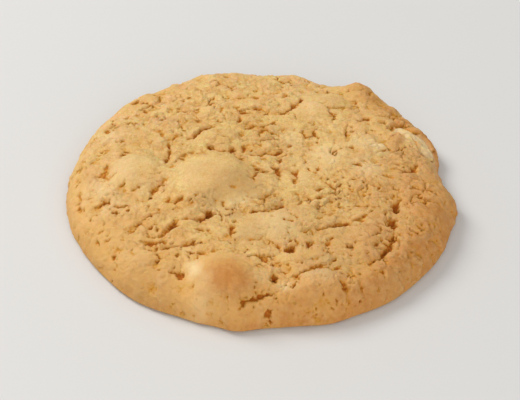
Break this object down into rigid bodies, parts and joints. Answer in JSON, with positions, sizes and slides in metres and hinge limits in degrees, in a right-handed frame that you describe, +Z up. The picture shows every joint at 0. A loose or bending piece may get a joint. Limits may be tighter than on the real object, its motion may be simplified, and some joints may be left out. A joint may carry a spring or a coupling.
{
  "type": "white chocolate macadamia cookie",
  "caption": "Large thin round cookie: crinkled golden crust, mounds where nuts lie under it, a rolled uneven rim and a chunk of white chocolate bare at the rim.",
  "frame": {"origin": "middle of the bounding box's bottom face, on the surface that the cookie rests on", "axes": "+Z up through the crust, +X to the right and +Y to the back as the cookie is seen from its front"},
  "size_m": [0.1056, 0.105, 0.0135],
  "materials": {
    "baked_dough": "matt golden baked crust, browner at the rim, on the mounds and in the cracks",
    "white_chocolate": "satin cream white chocolate, a little toasted"
  },
  "bodies": {
    "root": {"cookie": "baked_dough", "white_chunk": "white_chocolate"}
  },
  "joints": []
}
